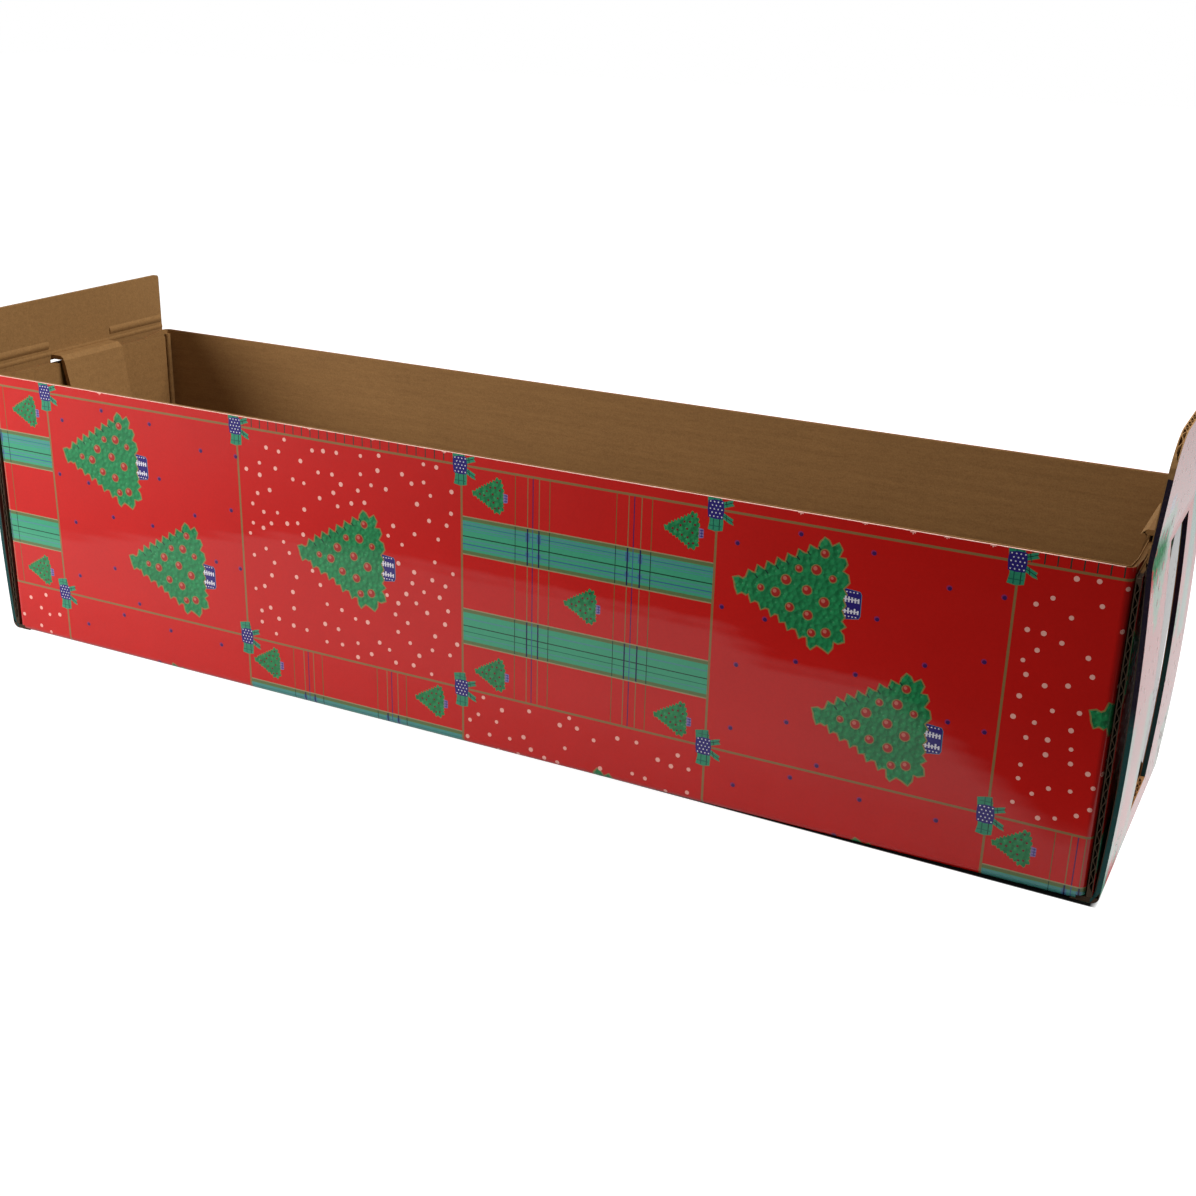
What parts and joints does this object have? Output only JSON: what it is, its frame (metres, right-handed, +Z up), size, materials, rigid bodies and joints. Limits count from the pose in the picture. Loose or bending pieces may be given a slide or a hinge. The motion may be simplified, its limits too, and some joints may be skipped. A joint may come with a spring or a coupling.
{
  "type": "bottle carton",
  "caption": "Long open-topped corrugated carton with printed outside, kraft inside, hinged top flaps and hook-in locking tongues.",
  "frame": {"origin": "middle of the underside of the base, on the surface the carton stands on", "axes": "+X along the carton to the end with the taller top flap, +Y from the front wall to the back wall, +Z up out of the open top"},
  "size_m": [0.3416, 0.079, 0.1111],
  "materials": {
    "printed_board": "glossy varnished print outside, bare brown kraft inside",
    "flap_board": "bare brown kraft inside, glossy varnished print outside"
  },
  "bodies": {
    "carton": {"tray": "printed_board"},
    "left_flap": {"left_top_flap": "flap_board"},
    "right_flap": {"right_top_flap": "flap_board"},
    "left_hook": {"left_tongue": "flap_board"},
    "right_hook": {"right_tongue": "flap_board"}
  },
  "joints": [
    {"name": "left_flap_crease", "type": "hinge", "parent": "carton", "child": "left_flap", "pos_m": [-0.16805, -0.00004, 0.0836], "axis": [0.0127, -0.9999, 0], "range_deg": [-90, 100]},
    {"name": "right_flap_crease", "type": "hinge", "parent": "carton", "child": "right_flap", "pos_m": [0.16805, -0.00004, 0.0836], "axis": [0.0127, 0.9999, 0], "range_deg": [-94, 96]},
    {"name": "left_tongue_crease", "type": "hinge", "parent": "carton", "child": "left_hook", "pos_m": [-0.16259, 0.00003, 0.08105], "axis": [0.0127, -0.9999, 0], "range_deg": [-8, 72]},
    {"name": "right_tongue_crease", "type": "hinge", "parent": "carton", "child": "right_hook", "pos_m": [0.16259, 0.00003, 0.08105], "axis": [0.0127, 0.9999, 0], "range_deg": [-8, 72]}
  ]
}
